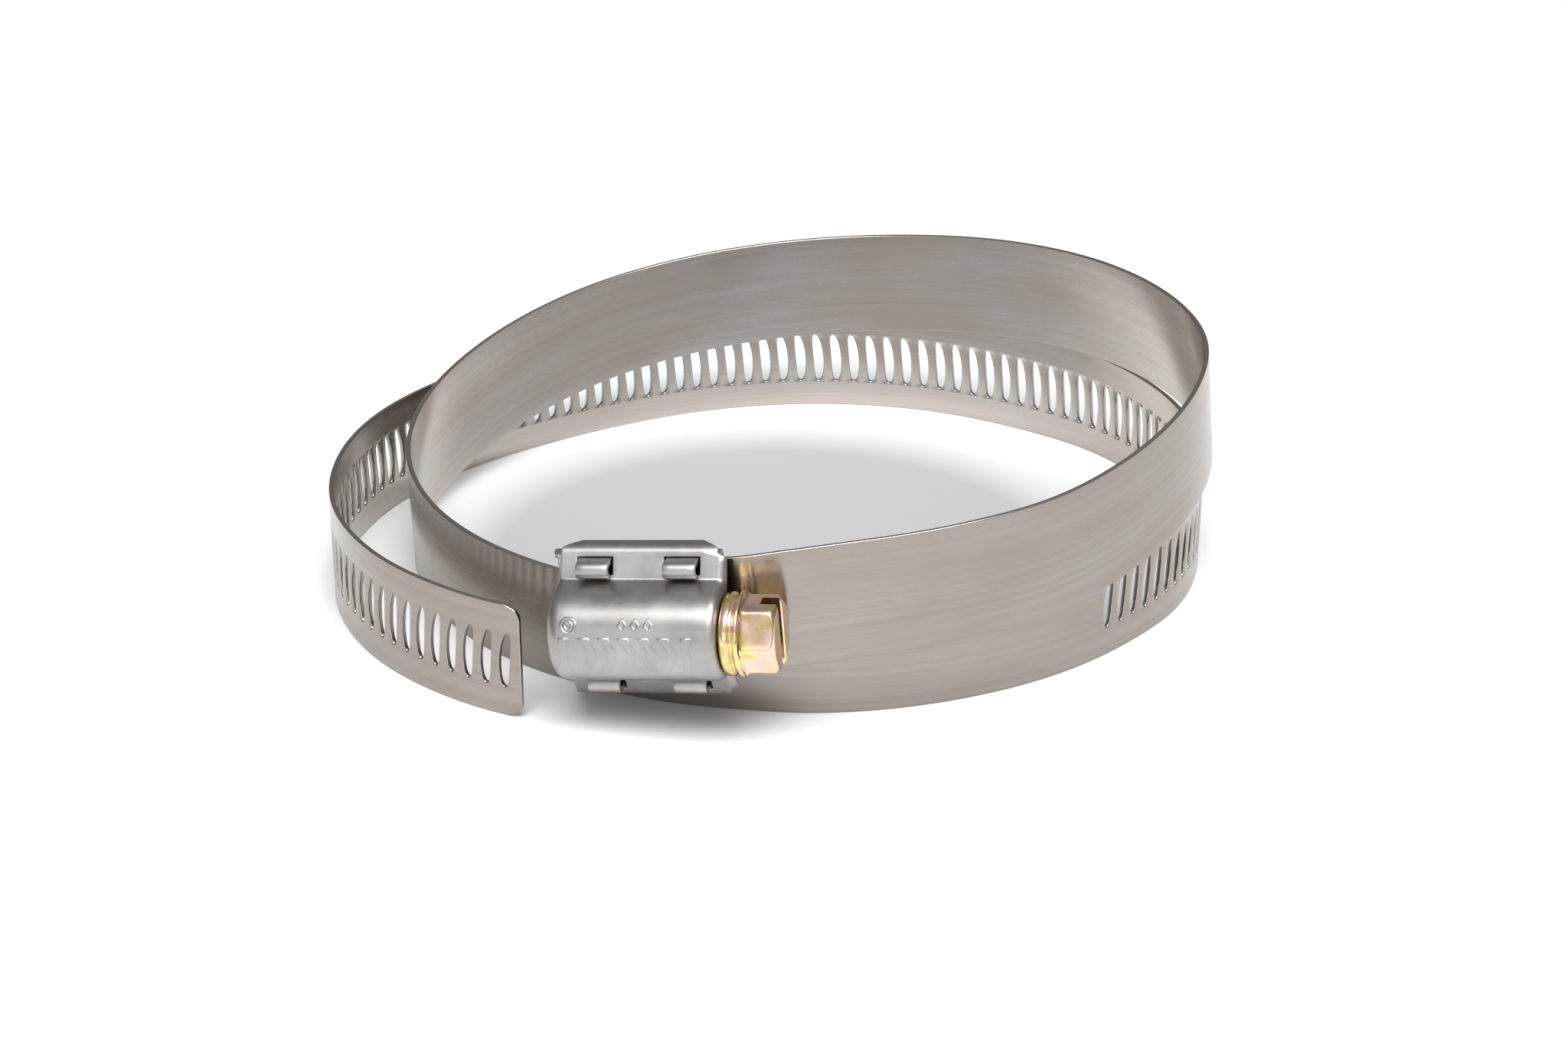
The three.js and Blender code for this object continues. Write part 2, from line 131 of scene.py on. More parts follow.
# The way round the coil: angle, distance from its axis, height of the lower edge, outward lean.
ROUTE = np.array([
    [-118.7, 50.66, 4.15, -3], [-115, 49.8, 4.47, -3], [-111, 49.13, 4.82, -3],
    [-102, 48.52, 5.56, -3], [-96, 48.72, 6.08, -3], [-89, 48.6, 7, -3], [-80, 48.75, 7.9, -3],
    [-65, 49.2, 8.6, -3.2], [-50, 50.3, 9.4, -3.6], [-35, 51.6, 11.2, -4], [-20, 52.9, 13.3, -4.5],
    [-5, 53.5, 14.8, -5], [10, 52.7, 15.1, -5], [30, 50.9, 14.9, -4.3], [50, 49.4, 13.8, -3.3],
    [70, 48, 12.2, -2], [90, 46.5, 10.7, 0], [110, 45.3, 9.2, 1.7], [130, 44.8, 7.4, 3.5],
    [150, 46, 4.6, 4.3], [165, 47.3, 2.2, 4], [180, 47.6, 0.8, 2.5], [200, 47.3, 0.1, 0.5],
    [220, 46.9, 0, 0], [240, 46.3, 0, 0], [252, 46.4, 0, 0], [264, 46.5, 0, 0],
    [274, 47.2, 0, 0], [295, 48.2, 0, 0], [310, 49.3, 0, 0], [325, 50.6, 0, 0],
    [340, 52.4, 0, 0], [360, 53.2, 0, 0], [380, 53, 0, 0], [395, 52.3, 0, 0],
    [410, 50.7, 0, 0], [425, 49.6, 0, 0], [445, 47.9, 0, 0], [460, 46.7, 0, 0],
    [476, 45.9, 0, 0], [488, 46.1, 0, 0], [500, 47.4, 0, 0], [515, 50.4, 0, 0],
    [530, 53.8, 0, 0], [545, 56.5, 0, 0], [560, 58.5, 0, 0], [575, 59, 0, 0],
    [590, 58.1, 0, 0], [598.2, 57.1, 0, 0],
])


def on_route(angle, column):
    """One column of ROUTE at some angles, on a smooth curve through its points."""
    knots, values = ROUTE[:, 0], ROUTE[:, column]
    before = np.maximum(np.arange(len(knots)) - 1, 0)
    after = np.minimum(np.arange(len(knots)) + 1, len(knots) - 1)
    slope = (values[after] - values[before]) / (knots[after] - knots[before])
    i = np.clip(np.searchsorted(knots, angle, side="left") - 1, 0, len(knots) - 2)
    span = knots[i + 1] - knots[i]
    t = (angle - knots[i]) / span
    rise = values[i + 1] - values[i]
    bend = slope[i] * span - rise
    unbend = slope[i + 1] * span - rise
    return values[i] + rise * t + t * (1 - t) * (bend * (1 - t) - unbend * t)


def middle_at(angle):
    turn, radius = np.radians(angle), on_route(angle, 1)
    height = np.maximum(on_route(angle, 2), 0) + BAND_WIDTH / 2
    return COIL_AXIS + np.stack([radius * np.cos(turn), radius * np.sin(turn), height], axis=1)


def unit(vectors):
    return vectors / np.linalg.norm(vectors, axis=1, keepdims=True)


ROUTE_STEP = 0.5
ROUTE_ANGLES = np.append(np.arange(ROUTE[0, 0], ROUTE[-1, 0], ROUTE_STEP), ROUTE[-1, 0])
ROUTE_STEPS = np.linalg.norm(np.diff(middle_at(ROUTE_ANGLES), axis=0), axis=1)
ROUTE_DISTANCES = np.append(0, np.cumsum(ROUTE_STEPS))
BAND_LENGTH = ROUTE_DISTANCES[-1]


def band_points(distance, height, depth):
    """Points of the band: distances along it, heights from its middle, and depths outward."""
    angle = np.interp(distance, ROUTE_DISTANCES, ROUTE_ANGLES)
    along = unit(middle_at(angle + ROUTE_STEP / 4) - middle_at(angle - ROUTE_STEP / 4))
    upright = unit(np.array([0, 0, 1.0]) - along * along[:, 2:])
    outward = np.cross(along, upright)
    lean = np.radians(on_route(angle, 3))[:, None]
    across = upright * np.cos(lean) + outward * np.sin(lean)
    normal = np.cross(along, across)
    return middle_at(angle) + across * height[:, None] + normal * depth[:, None]


# ---- The band ----


class StripBuilder:
    """Collects points given along, across and through the band, and the faces between them."""

    def __init__(self):
        self.points, self.edges, self.faces = [], [], []

    def point(self, distance, height, depth, edge=0.0):
        self.points.append((distance, height, depth))
        self.edges.append(edge)
        return len(self.points) - 1

    def bridge(self, first, second):
        """Quads between two loops of as many points."""
        count = len(first)
        for k in range(count):
            j = (k + 1) % count
            self.faces.append((first[k], first[j], second[j], second[k]))

    def build(self, name):
        flat = np.array(self.points)
        obj = new_object(name, band_points(flat[:, 0], flat[:, 1], flat[:, 2]), self.faces)
        strip = obj.data.uv_layers.new(name="strip")
        corners = np.empty(len(obj.data.loops), int)
        obj.data.loops.foreach_get("vertex_index", corners)
        strip.data.foreach_set("uv", flat[corners][:, :2].ravel())
        # Marks the sheared edges and slot walls, whose colour is darkened partly as painted shade.
        cut = obj.data.attributes.new("cut_edge", "FLOAT", "POINT")
        cut.data.foreach_set("value", self.edges)
        # Marks the outer face, whose colour is painted darker as shade.
        outer = obj.data.attributes.new("outer_face_painted_shade", "FLOAT", "POINT")
        outer.data.foreach_set("value", np.clip(flat[:, 2] / BAND_THICKNESS + 0.5, 0, 1))
        drop_loose(obj)
        return obj


def slot_outline():
    """Points of a slot: its foot, up the near side, its top, and down the far side."""
    slant, near, end_width, belly = 0.085, 0.56, 0.9, 0.5
    share = np.abs(SLOT_ROWS) / SLOT_HALF
    width = (end_width + belly * (1 - share ** 2)) * (1 - share ** 9) ** 0.5
    middle = slant * SLOT_ROWS + near - (end_width + belly * (1 - share ** 2)) / 2
    near_side = list(zip(middle + width / 2, SLOT_ROWS))
    far_side = list(zip(middle - width / 2, SLOT_ROWS))
    low, high = (middle[0], -SLOT_HALF), (middle[-1], SLOT_HALF)
    return np.array([far_side[0], low, *near_side, high, *far_side[::-1][:-1]])


def grown(outline, amount):
    """The outline moved outward, for a counterclockwise loop."""
    along = unit(np.roll(outline, -1, axis=0) - np.roll(outline, 1, axis=0))
    return outline + amount * np.stack([along[:, 1], -along[:, 0]], axis=1)


def make_band():
    strip = StripBuilder()
    half, radius = BAND_THICKNESS / 2, BAND_EDGE_RADIUS
    side = BAND_WIDTH / 2 - radius
    rows = [-side, -BAND_SHOULDER, *SLOT_ZONE, BAND_SHOULDER, side]
    count = len(rows)
    slotted = BAND_LENGTH - FIRST_SLOT - (SLOT_COUNT - 0.5) * SLOT_PITCH
    plain_steps = round(slotted / PLAIN_STEP)
    stations = [slotted * i / plain_steps for i in range(plain_steps)]
    first_cell = len(stations)
    stations += [slotted + i * SLOT_PITCH / 2 for i in range(2 * SLOT_COUNT + 1)]
    stations += [BAND_LENGTH - back for back in (0.5, 0.3, radius, radius / 3, 0)]

    sections = []
    for distance in stations:
        left = BAND_LENGTH - distance
        into = max(TAIL_CORNER - left, 0)
        inset = TAIL_CORNER - math.sqrt(TAIL_CORNER ** 2 - into ** 2)
        shrink = 1 - inset / (BAND_WIDTH / 2)
        end = max(radius - left, 0)
        thin = radius - math.sqrt(max(radius ** 2 - end ** 2, 0))
        face, rim = half - thin, half - radius
        at_end = 1.0 if left < radius / 2 else 0.0
        heights = [h if abs(h) < 5 else h * shrink for h in rows]
        top = heights[-1]
        outer = [strip.point(distance, h, face, at_end) for h in heights]
        bend = radius * math.sqrt(0.5)
        upper = [(top + bend, rim + (face - rim) * 0.7), (top + radius, rim),
                 (top + radius, -rim), (top + bend, -rim - (face - rim) * 0.7)]
        over = [strip.point(distance, h, d, 1) for h, d in upper]
        inner = [strip.point(distance, h, -face, at_end) for h in reversed(heights)]
        under = [strip.point(distance, -h, d, 1) for h, d in reversed(upper)]
        sections.append((outer, over, inner, under))

    holes = {first_cell + 2 * k for k in range(SLOT_COUNT)}
    low, high = 2, 1 + len(SLOT_ROWS)
    for i in range(len(stations) - 1):
        here, there = sections[i], sections[i + 1]
        in_hole = i in holes or i - 1 in holes
        loops = [[*s[0], *s[1], *s[2], *s[3]] for s in (here, there)]
        for k in range(len(loops[0])):
            j = (k + 1) % len(loops[0])
            outer_zone = k < count and low <= k < high
            inner_k = k - count - 4
            inner_zone = 0 <= inner_k < count and low <= inner_k < high
            if in_hole and (outer_zone or inner_zone):
                continue
            strip.faces.append((loops[0][k], loops[1][k], loops[1][j], loops[0][j]))
    for section, flip in ((sections[0], False), (sections[-1], True)):
        outer, over, inner, under = section
        back = inner[::-1]
        for k in range(count - 1):
            quad = (outer[k], outer[k + 1], back[k + 1], back[k])
            strip.faces.append(quad[::-1] if flip else quad)
        caps = [(outer[-1], *over, inner[0]), (inner[-1], *under, outer[0])]
        strip.faces += [c[::-1] if flip else c for c in caps]

    outline = slot_outline()
    for i in sorted(holes):
        middle = stations[i + 1]
        ring = []
        for face in (0, 2):
            cols = [s[face] if face == 0 else s[face][::-1] for s in sections[i:i + 3]]
            boundary = [cols[0][low], cols[1][low], *cols[2][low:high + 1], cols[1][high],
                        *cols[0][low + 1:high + 1][::-1]]
            ring.append(boundary)
        loops = [ring[0]]
        for points, depth, edge in ((grown(outline, SLOT_LIP), half, 0),
                                    (outline, half - SLOT_LIP, 1),
                                    (outline, SLOT_LIP - half, 1),
                                    (grown(outline, SLOT_LIP), -half, 0)):
            loops.append([strip.point(middle + x, y, depth, edge) for x, y in points])
        loops.append(ring[1])
        for first, second in zip(loops, loops[1:]):
            strip.bridge(first, second)

    band = strip.build("band_strip")
    add_modifier(band, "normals", "WEIGHTED_NORMAL", weight=60)
    return band


# ---- The housing ----

HOUSING_SHEET = 0.7
FOOT_HALF_WIDTH = 9.2
FOOT_DEPTH = -0.6
FOOT_END = 9.2
FOOT_CHAMFER = 7.1
CORNER_RADIUS = 1.25
SHOULDER_DEPTH = 1.4
SLOPE = math.radians(28)
BARREL_HALF_WIDTH = 5.4
BARREL_HEIGHT = 4.95
WINDOW = (8.15, 6.3)
WINDOW_SPAN = (3.0, 7.2)
HOLE_RADIUS = 3.15

# Each end of the barrel: how far it reaches, and the radius of its edge over the barrel and
# over the shoulders.
BARREL_ENDS = {-1: (9.75, 1.6, 0.0), 1: (10.15, 1.05, 0.9)}
SHEET_BEVEL = 0.08
ROUND_STEPS = 6


def shoulder_depth(width):
    return SHOULDER_DEPTH + (FOOT_HALF_WIDTH - width) * math.tan(SLOPE)


def housing_half_profile():
    """(n, w) points from the foot's rim to the top of the barrel, and the names of their parts."""
    turn = math.pi / 2 - SLOPE
    tangent = CORNER_RADIUS * math.tan(turn / 2)
    centre = (SHOULDER_DEPTH - tangent, FOOT_HALF_WIDTH - CORNER_RADIUS)
    corner = arc(centre, CORNER_RADIUS, 90, 90 - math.degrees(turn), 6)
    wall = [(FOOT_DEPTH, FOOT_HALF_WIDTH), (0.0, FOOT_HALF_WIDTH)]
    slope = [(shoulder_depth(w), w) for w in (WINDOW[0], 7.5, 6.9, WINDOW[1])]
    valley = [(shoulder_depth(6.08), 6.08), (shoulder_depth(5.97), 5.95),
              (shoulder_depth(5.97) + 0.09, 5.83), (shoulder_depth(5.97) + 0.25, 5.75), (4.1, 5.55)]
    barrel = [(SCREW_DEPTH + BARREL_HEIGHT * math.cos(a), BARREL_HALF_WIDTH * math.sin(a))
              for a in np.radians(np.linspace(86, 0, 15))]
    points = wall + corner + slope + valley + barrel
    parts = ["foot"] * len(wall + corner) + ["slope"] * (len(slope) + 3) + ["wall"] * 2
    return points, parts + ["barrel"] * len(barrel)


def inward_normals(profile):
    along = unit(np.gradient(np.array(profile), axis=0))
    return np.stack([along[:, 1], -along[:, 0]], axis=1)


def make_housing():
    half, half_parts = housing_half_profile()
    profile = half + [(n, -w) for n, w in half[-2::-1]]
    parts = half_parts + half_parts[-2::-1]
    inward = inward_normals(profile)
    middle = len(profile) // 2
    straight = [0, 1.0, 2.0, WINDOW_SPAN[0], 4.1, 5.1, 6.1, WINDOW_SPAN[1]]
    stations = [(-1, s) for s in range(len(straight) + ROUND_STEPS, 0, -1)]
    stations += [(1, s) for s in range(len(straight) + ROUND_STEPS + 1)]

    def end_of(side, j):
        """Where the sheet ends at this point of the profile, and the radius of its edge."""
        reach, barrel_radius, slope_radius = BARREL_ENDS[side]
        n = profile[j][0]
        if parts[j] == "foot":
            down = min(max((SHOULDER_DEPTH - n) / (SHOULDER_DEPTH - FOOT_DEPTH), 0), 1)
            return FOOT_END + (FOOT_CHAMFER - FOOT_END) * down, 0.0
        if parts[j] == "slope":
            return (reach, slope_radius) if slope_radius else (FOOT_END, 0.0)
        if parts[j] == "wall":
            share = 0.5 if slope_radius == 0 else 1.0
            return FOOT_END + (reach - FOOT_END) * share, max(slope_radius, barrel_radius * share)
        return reach, barrel_radius

    def place(side, station, j):
        n, w = profile[j]
        end, radius = end_of(side, j)
        last_straight = min(WINDOW_SPAN[1], end - radius - 0.2)
        if station < len(straight):
            u = straight[station]
            if last_straight < WINDOW_SPAN[1]:
                u = u * last_straight / WINDOW_SPAN[1]
            return side * u, n, w
        turn = (station - len(straight)) / ROUND_STEPS * math.pi / 2
        u = end - radius + radius * math.sin(turn)
        if radius == 0:
            step = station - len(straight) + 1
            u = last_straight + (end - last_straight) * step / (ROUND_STEPS + 1)
        drop = radius * (1 - math.cos(turn))
        return side * u, n + inward[j][0] * drop, w + inward[j][1] * drop

    points, faces, grid = [], [], {}
    for i, (side, station) in enumerate(stations):
        for j in range(len(profile)):
            grid[i, j] = len(points)
            points.append(place(side, station, j))
    for i in range(len(stations) - 1):
        spot = (abs(points[grid[i, middle]][0]) + abs(points[grid[i + 1, middle]][0])) / 2
        for j in range(len(profile) - 1):
            widths = sorted((abs(profile[j][1]), abs(profile[j + 1][1])))
            beside = WINDOW[1] - 0.01 < widths[0] and widths[1] < WINDOW[0] + 0.01
            if WINDOW_SPAN[0] < spot < WINDOW_SPAN[1] and beside:
                continue
            faces.append((grid[i, j], grid[i, j + 1], grid[i + 1, j + 1], grid[i + 1, j]))

    for i, side in ((0, -1), (len(stations) - 1, 1)):
        first = parts.index("slope") if BARREL_ENDS[side][2] else parts.index("wall")
        rim = [grid[i, j] for j in range(first, len(profile) - first)]
        rings = [rim]
        for share in (0.5, 1.0):
            ring = []
            for v in rim:
                u, n, w = points[v]
                kept = 1 + (HOLE_RADIUS / math.hypot(n - SCREW_DEPTH, w) - 1) * share
                ring.append(len(points))
                points.append((side * (abs(u) + (BARREL_ENDS[side][0] - abs(u)) * share),
                               SCREW_DEPTH + (n - SCREW_DEPTH) * kept, w * kept))
            rings.append(ring)
        for a, b in zip(rings, rings[1:]):
            for k in range(len(a) - 1):
                quad = (a[k], a[k + 1], b[k + 1], b[k])
                faces.append(quad if side > 0 else quad[::-1])
    housing = new_object("housing_shell", in_head(points), faces)
    thicken(housing, HOUSING_SHEET, SHEET_BEVEL)
    return housing


# ---- The raised pattern on the barrel ----

MARK_HALF_WIDTH = 0.17
MARK_HEIGHT = 0.09
MARK_UPPER = 2.65
MARK_STEP = 0.45
MITRE_LIMIT = 0.45


def on_barrel(u, s, height):
    """A point above the barrel: s is the distance round it from its top, towards +w."""
    angle = s / ((BARREL_HEIGHT + BARREL_HALF_WIDTH) / 2)
    return (u, SCREW_DEPTH + (BARREL_HEIGHT + height) * math.cos(angle),
            (BARREL_HALF_WIDTH + height) * math.sin(angle))


def polygon(u, s, radius, sides, stretch=1.0):
    angles = [2 * math.pi * k / sides for k in range(sides)]
    return [(u + radius * stretch * math.cos(a), s + radius * math.sin(a)) for a in angles]


def mark_outlines():
    """Closed outlines, as (u, s) points: rings above, then a row of bars, lozenges and chevrons."""
    rings = [polygon(-6.9, MARK_UPPER, 0.85, 20), polygon(-6.9, MARK_UPPER, 0.45, 14)]
    small = [polygon(u, MARK_UPPER, 0.62, 4, 0.7) for u in (-0.6, 0.9, 2.4)]
    row = []
    low, high, middle = -2.55, 1.15, -0.7
    for u in (-7.9, 6.3):
        row.append([(u, low), (u + 0.9, low), (u + 0.9, high), (u, high)])
    for u in (-5.6, -3.3, -1.0, 1.3, 3.6):
        row.append([(u, low), (u + 1.0, low), (u + 2.0, middle), (u + 1.0, high), (u, high),
                    (u + 1.0, middle)])
    return rings + small + row


def make_marks():
    section = [(-1.0, -0.06), (-0.5, 0.7), (0.0, 1.0), (0.5, 0.7), (1.0, -0.06)]
    points, faces = [], []
    for outline in mark_outlines():
        dense = []
        for k, here in enumerate(outline):
            there = outline[(k + 1) % len(outline)]
            steps = max(1, round(math.dist(here, there) / MARK_STEP))
            way = np.array(there) - here
            dense += [tuple(np.array(here) + way * i / steps) for i in range(steps)]
        loop = np.array(dense)
        ahead = unit(np.roll(loop, -1, axis=0) - loop)
        behind = np.roll(ahead, 1, axis=0)
        mitre = unit(ahead + behind)
        stretch = 1 / np.maximum((mitre * ahead).sum(axis=1), MITRE_LIMIT)
        aside = np.stack([-mitre[:, 1], mitre[:, 0]], axis=1) * stretch[:, None] * MARK_HALF_WIDTH
        start, count = len(points), len(loop)
        for (u, s), (du, ds) in zip(loop, aside):
            points += [on_barrel(u + du * x, s + ds * x, MARK_HEIGHT * h) for x, h in section]
        for k in range(count):
            here, there = start + k * len(section), start + (k + 1) % count * len(section)
            faces += [(here + m, there + m, there + m + 1, here + m + 1)
                      for m in range(len(section) - 1)]
    return new_object("housing_marks", in_head(points), faces)


# ---- The saddle ----

SADDLE_SHEET = 0.65
SADDLE_HALF_WIDTH = 8.0
SADDLE_DEPTH = -1.65
SADDLE_WALL_DEPTH = 0.8
SADDLE_BACK = -10.6
SADDLE_FRONT = 9.0
TAB_SPAN = (3.2, 7.0)
TAB_RADIUS = 1.0
TAB_CENTRE_DEPTH = 3.3
SADDLE_BEND = 0.9
SADDLE_BEVEL = 0.1


def make_saddle():
    floor = [(SADDLE_DEPTH, w) for w in (0, 3.5)]
    centre = (SADDLE_DEPTH + SADDLE_BEND, SADDLE_HALF_WIDTH - SADDLE_BEND)
    corner = arc(centre, SADDLE_BEND, 180, 90, 5)
    wall = [(0.1, SADDLE_HALF_WIDTH), (SADDLE_WALL_DEPTH, SADDLE_HALF_WIDTH)]
    curl = arc((TAB_CENTRE_DEPTH, SADDLE_HALF_WIDTH - TAB_RADIUS), TAB_RADIUS, 90, -75, 14)
    half = floor + corner + wall + [(2.2, SADDLE_HALF_WIDTH)] + curl
    rim = len(floor + corner + wall) - 1
    profile = [(n, -w) for n, w in half[:0:-1]] + half
    middle = len(half) - 1
    stations = [SADDLE_BACK, SADDLE_BACK + 0.25, SADDLE_BACK + 0.8, -9, -8, -TAB_SPAN[1], -6, -5,
                -4, -TAB_SPAN[0], -1.5, 0, 1.5, TAB_SPAN[0], 4, 5, 6, TAB_SPAN[1], 8,
                SADDLE_FRONT - 0.2, SADDLE_FRONT]
    rim_drop = {0: 1.0, 1: 0.35, len(stations) - 2: 0.1, len(stations) - 1: 0.4}
    points, faces, grid = [], [], {}
    for i, u in enumerate(stations):
        for j, (n, w) in enumerate(profile):
            if abs(j - middle) == rim and i in rim_drop:
                n -= rim_drop[i]
            if abs(j - middle) == rim - 1 and i in rim_drop:
                n -= rim_drop[i] / 2
            grid[i, j] = len(points)
            points.append((u, n, w))
    for i in range(len(stations) - 1):
        spot = abs(stations[i] + stations[i + 1]) / 2
        is_tab = TAB_SPAN[0] < spot < TAB_SPAN[1]
        for j in range(len(profile) - 1):
            beyond = min(abs(j - middle), abs(j + 1 - middle)) >= rim
            if beyond and not is_tab:
                continue
            faces.append((grid[i, j], grid[i, j + 1], grid[i + 1, j + 1], grid[i + 1, j]))
    saddle = new_object("saddle_sheet", in_head(points), faces)
    drop_loose(saddle)
    thicken(saddle, SADDLE_SHEET, SADDLE_BEVEL)
    return saddle


# ---- The screw ----

SCREW_TIP = -10.25
SCREW_CORE = 2.9
WORM = (-8.1, 8.1)
WORM_RADIUS = 4.1
HEX_FLATS = 7.94
HEX_TURN = math.radians(26)
HEX_BACK = 12.7
HEX_FRONT = 16.65
HEX_CORNER = 4.5
DRIVE_SLOT = (1.65, 2.1)
SLOT_MOUTH = 0.16
SCREW_SIDES = 96
HEAD_SIDES = 144
WORM_STEPS = 84


def about_screw(u, radius, angle):
    return (u, SCREW_DEPTH + radius * math.cos(angle), radius * math.sin(angle))


def turned(stations, sides, shape):
    """A round body: shape(u, radius, angle) is its radius at each of the (radius, u) stations."""
    points, faces = [], []
    for radius, u in stations:
        for k in range(sides):
            angle = 2 * math.pi * k / sides
            points.append(about_screw(u, shape(u, radius, angle), angle))
    for i in range(len(stations) - 1):
        for k in range(sides):
            j = (k + 1) % sides
            faces.append((i * sides + k, i * sides + j, (i + 1) * sides + j, (i + 1) * sides + k))
    faces.append(tuple(range(sides - 1, -1, -1)))
    faces.append(tuple(range((len(stations) - 1) * sides, len(stations) * sides)))
    return in_head(points), faces


def thread(u, radius, angle):
    run_out = min(u - WORM[0], WORM[1] - u, 1)
    if run_out <= 0:
        return radius
    wave = 0.5 - 0.5 * math.cos(2 * math.pi * u / SLOT_PITCH - angle)
    return radius + run_out * min(wave * 1.5, 1) * (WORM_RADIUS - SCREW_CORE)


# The double-rimmed washer, as (radius, u) points.
WASHER = [
    (2.9, 10.1), (3.2, 10.22), (4.2, 10.27), (4.45, 10.34), (4.63, 10.5), (4.74, 10.7),
    (4.79, 10.95), (4.78, 11.2), (4.7, 11.38), (4.55, 11.5), (4.46, 11.6), (4.45, 11.74),
    (4.52, 11.88), (4.7, 12.0), (4.84, 12.1), (4.9, 12.22), (4.9, 12.36), (4.85, 12.48),
    (4.74, 12.56), (4.58, 12.62), (4.42, 12.67), (4.32, 12.76), (4.2, 12.84), (3.0, 12.9),
]


def make_shank():
    worm = [(SCREW_CORE, WORM[0] + (WORM[1] - WORM[0]) * i / WORM_STEPS)
            for i in range(WORM_STEPS + 1)]
    tip = [(1.2, SCREW_TIP + 0.02), (2.3, SCREW_TIP + 0.06), (2.6, SCREW_TIP + 0.2),
           (2.8, SCREW_TIP + 0.45), (SCREW_CORE, SCREW_TIP + 0.8)]
    points, faces = turned(tip + worm + WASHER, SCREW_SIDES, thread)
    return new_object("screw_shank", points, faces)


def soft_least(a, b, sharp):
    return (a ** -sharp + b ** -sharp) ** (-1 / sharp)


def hexagon(u, radius, angle):
    """A hexagon with softened corners, under a crown whose radius is given."""
    turn = (angle - HEX_TURN + math.pi / 6) % (math.pi / 3) - math.pi / 6
    flat = HEX_FLATS / 2 / math.cos(turn)
    flare = 0.3 * max(0, 1 - (u - HEX_BACK) / 0.45) ** 2
    return soft_least(soft_least(flat + flare, HEX_CORNER + flare, 60), radius, 40)


def make_head():
    crown = [(9, HEX_BACK + up) for up in (0, 0.12, 0.25, 0.4, 0.6, 1.2, 1.8, 2.4)]
    crown += [(radius, HEX_FRONT - back) for radius, back in (
        (5.1, 1.0), (4.8, 0.8), (4.6, 0.64), (4.42, 0.5), (4.25, 0.37), (4.1, 0.27), (3.97, 0.19),
        (3.84, 0.12), (3.7, 0.07), (3.55, 0.03), (3.4, 0.01), (3.2, 0), (1.5, 0), (0.8, 0))]
    points, faces = turned(crown, HEAD_SIDES, hexagon)
    head = new_object("screw_head", points, faces)
    half, deep = DRIVE_SLOT[0] / 2, HEX_FRONT - DRIVE_SLOT[1]
    flared = half + SLOT_MOUTH + 1
    section = [(deep, -half), (deep, half), (HEX_FRONT - SLOT_MOUTH, half),
               (HEX_FRONT + 1, flared), (HEX_FRONT + 1, -flared), (HEX_FRONT - SLOT_MOUTH, -half)]
    ends = [[(u, SCREW_DEPTH + n, w) for u, n in section] for w in (-7, 7)]
    count = len(section)
    sides = [(k, (k + 1) % count, count + (k + 1) % count, count + k) for k in range(count)]
    box = new_object("slot_cutter", in_head(ends[0] + ends[1]),
                     [*sides, tuple(range(count))[::-1], tuple(range(count, 2 * count))], False)
    bm = bmesh.new()
    bm.from_mesh(box.data)
    bmesh.ops.recalc_face_normals(bm, faces=bm.faces)
    bm.to_mesh(box.data)
    bm.free()
    cut = head.modifiers.new("slot", "BOOLEAN")
    cut.operation, cut.object, cut.solver = "DIFFERENCE", box, "EXACT"
    with bpy.context.temp_override(object=head, active_object=head):
        bpy.ops.object.modifier_apply(modifier="slot")
    bpy.data.objects.remove(box)
    head.data.set_sharp_from_angle(angle=math.radians(35))
    return head


# ---- Materials ----

# Heights of the bump in metres, since the shader works in them.
BUMP_HEIGHT = 0.00006
PLATING_BUMP = 0.00004


class Nodes:
    """Adds nodes to one material, and links them."""

    def __init__(self, name):
        self.material = bpy.data.materials.new(name)
        self.material.use_nodes = True
        self.tree = self.material.node_tree
        self.shader = self.tree.nodes["Principled BSDF"]

    def add(self, kind, **settings):
        node = self.tree.nodes.new(kind)
        for key, value in settings.items():
            setattr(node, key, value)
        return node

    def link(self, source, target):
        self.tree.links.new(source, target)

    def noise(self, vector, scale, detail=3.0, rough=0.55):
        node = self.add("ShaderNodeTexNoise")
        node.inputs["Scale"].default_value = scale
        node.inputs["Detail"].default_value = detail
        node.inputs["Roughness"].default_value = rough
        self.link(vector, node.inputs["Vector"])
        return node.outputs["Fac"]

    def stretched(self, vector, scale):
        node = self.add("ShaderNodeMapping")
        node.inputs["Scale"].default_value = scale
        self.link(vector, node.inputs["Vector"])
        return node.outputs["Vector"]

    def ramp(self, value, *stops):
        node = self.add("ShaderNodeValToRGB")
        elements = node.color_ramp.elements
        while len(elements) < len(stops):
            elements.new(0.5)
        for element, (place, colour) in zip(elements, stops):
            element.position = place
            element.color = (*colour, 1)
        self.link(value, node.inputs["Fac"])
        return node.outputs["Color"]

    def spread(self, value, low, high, start=0.0, end=1.0):
        node = self.add("ShaderNodeMapRange")
        limits = {"From Min": low, "From Max": high, "To Min": start, "To Max": end}
        for name, number in limits.items():
            node.inputs[name].default_value = number
        self.link(value, node.inputs["Value"])
        return node.outputs["Result"]

    def mix(self, factor, first, second, blend="MIX"):
        node = self.add("ShaderNodeMix", data_type="RGBA", blend_type=blend)
        for index, value in ((0, factor), (6, first), (7, second)):
            if isinstance(value, (int, float, tuple)):
                node.inputs[index].default_value = value
            else:
                self.link(value, node.inputs[index])
        return node.outputs[2]

    def math(self, operation, first, second):
        node = self.add("ShaderNodeMath", operation=operation)
        for socket, value in zip(node.inputs, (first, second)):
            if isinstance(value, (int, float)):
                socket.default_value = value
            else:
                self.link(value, socket)
        return node.outputs[0]

    def bump(self, height, distance, strength=1.0):
        node = self.add("ShaderNodeBump")
        node.inputs["Distance"].default_value = distance
        node.inputs["Strength"].default_value = strength
        self.link(height, node.inputs["Height"])
        self.link(node.outputs["Normal"], self.shader.inputs["Normal"])


